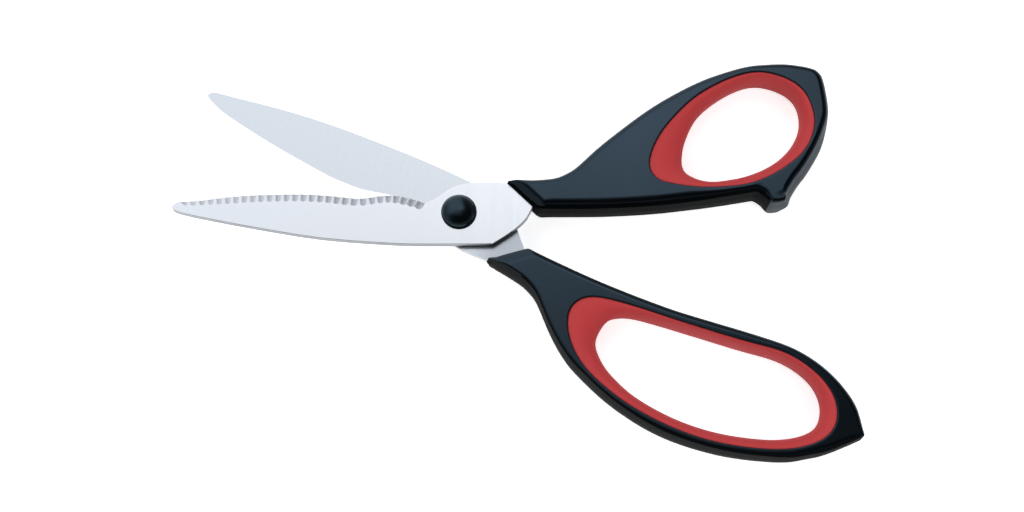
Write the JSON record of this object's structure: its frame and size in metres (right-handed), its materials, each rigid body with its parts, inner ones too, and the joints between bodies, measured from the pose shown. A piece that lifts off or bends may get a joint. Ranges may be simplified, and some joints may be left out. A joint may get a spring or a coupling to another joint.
{
  "type": "herb scissors",
  "caption": "Herb scissors with a finely serrated and a plain blade, black loop handles lined with soft red grips and a capped pivot.",
  "frame": {"origin": "on the pivot axis, in the plane that the scissors lie on, at the back cap's flat end", "axes": "+X from the pivot to the handles, along the thumb half, -X to the blade tips; +Z out of the front face, along the pivot axis"},
  "size_m": [0.1905, 0.1133, 0.012],
  "materials": {
    "blade_steel": "satin ground stainless steel",
    "black_plastic": "satin moulded plastic",
    "red_rubber": "matte soft moulded rubber",
    "pivot_steel": "turned and plated steel",
    "nylon": "natural nylon"
  },
  "bodies": {
    "serrated_half": {"serrated_blade": "blade_steel", "thumb_handle": "black_plastic", "thumb_grip": "red_rubber", "front_cap": "black_plastic", "pivot_bolt": "pivot_steel", "head_washer": "nylon", "blade_washer": "nylon", "spring_washer": "pivot_steel", "pivot_nut": "pivot_steel", "back_cap": "black_plastic"},
    "plain_half": {"plain_blade": "blade_steel", "finger_handle": "black_plastic", "finger_grip": "red_rubber"}
  },
  "joints": [
    {"name": "blade_pivot", "type": "hinge", "parent": "serrated_half", "child": "plain_half", "pos_m": [0, 0, 0], "axis": [0, 0, -1], "range_deg": [-24.3, 65]}
  ]
}
